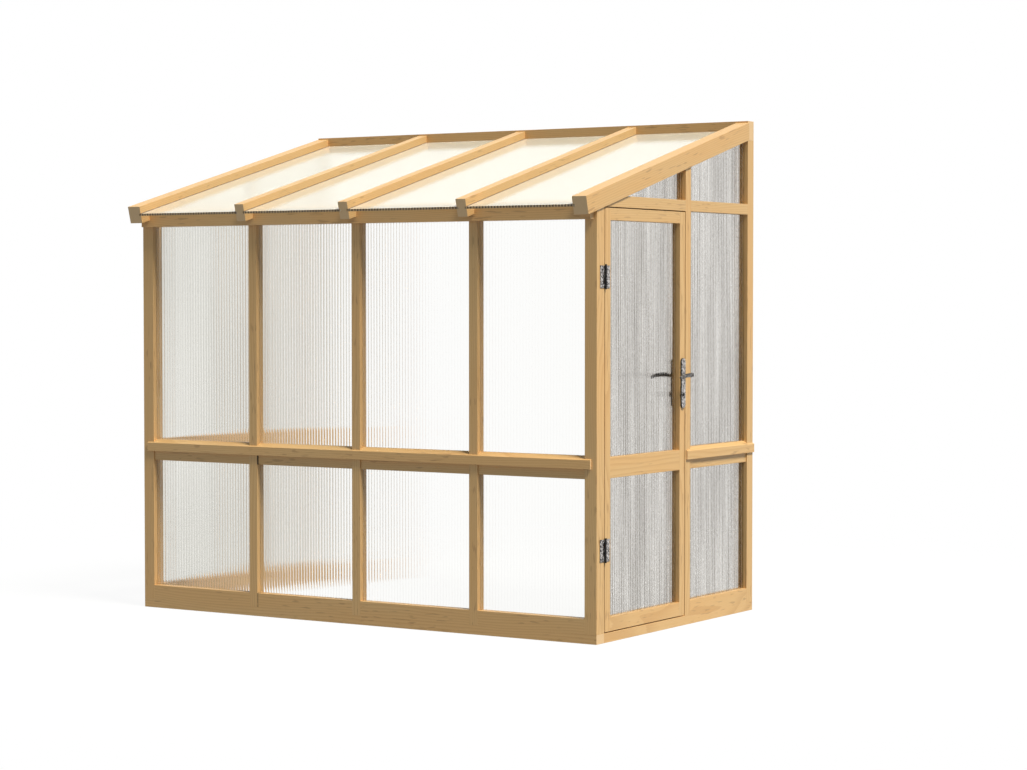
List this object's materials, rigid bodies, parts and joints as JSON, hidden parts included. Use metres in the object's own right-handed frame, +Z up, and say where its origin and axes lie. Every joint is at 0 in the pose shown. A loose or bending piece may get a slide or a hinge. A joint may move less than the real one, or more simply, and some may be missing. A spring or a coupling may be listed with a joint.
{
  "type": "lean-to greenhouse",
  "caption": "Timber lean-to greenhouse with a low-pitched roof, fluted twin-wall glazing, sills at mid height and a hinged end door with lever handles.",
  "frame": {"origin": "on the floor, at the centre of the outline that holds the whole object", "axes": "+X along the front from the plain end towards the door end, +Y from the front towards the house wall, +Z up"},
  "size_m": [2.678, 1.605, 2.3886],
  "materials": {
    "timber": "planed pine, clear oiled",
    "glazing": "clear twin-wall sheet with upright flutes",
    "ironwork": "dark satin"
  },
  "bodies": {
    "frame": {"front_sole_plate": "timber", "left_sole_plate": "timber", "right_sole_plate": "timber", "corner_posts": "timber", "front_mullions": "timber", "rear_posts": "timber", "left_middle_post": "timber", "door_post": "timber", "front_bottom_rails": "timber", "front_middle_rails": "timber", "front_head_rails": "timber", "left_bottom_rails": "timber", "left_middle_rails": "timber", "left_transoms": "timber", "right_bottom_rail": "timber", "right_middle_rail": "timber", "right_transoms": "timber", "front_sill": "timber", "left_sill": "timber", "right_sill": "timber", "eave_beam": "timber", "wall_plate": "timber", "end_rafters": "timber", "inner_rafters": "timber", "front_lower_panes": "glazing", "front_upper_panes": "glazing", "left_lower_panes": "glazing", "left_upper_panes": "glazing", "left_gable_panes": "glazing", "right_lower_pane": "glazing", "right_upper_pane": "glazing", "right_gable_panes": "glazing", "roof_sheets": "glazing", "hinge_post_leaves": "ironwork", "hinge_pins": "ironwork"},
    "door": {"door_stiles": "timber", "door_rails": "timber", "door_panes": "glazing", "hinge_door_leaves": "ironwork", "outer_back_plate": "ironwork", "inner_back_plate": "ironwork", "lock_cylinder": "ironwork", "thumb_turn": "ironwork"},
    "handles": {"outer_lever": "ironwork", "inner_lever": "ironwork", "spindle": "ironwork"}
  },
  "joints": [
    {"name": "door_hinge", "type": "hinge", "parent": "frame", "child": "door", "pos_m": [1.2765, -0.629, 1], "axis": [0, 0, -1], "range_deg": [0, 100]},
    {"name": "handle_turn", "type": "hinge", "parent": "door", "child": "handles", "pos_m": [1.27, 0.0835, 1.166], "axis": [1, 0, 0], "range_deg": [0, 40], "stiffness_Nm_per_rad": 1.2, "springref_deg": -22.92}
  ]
}
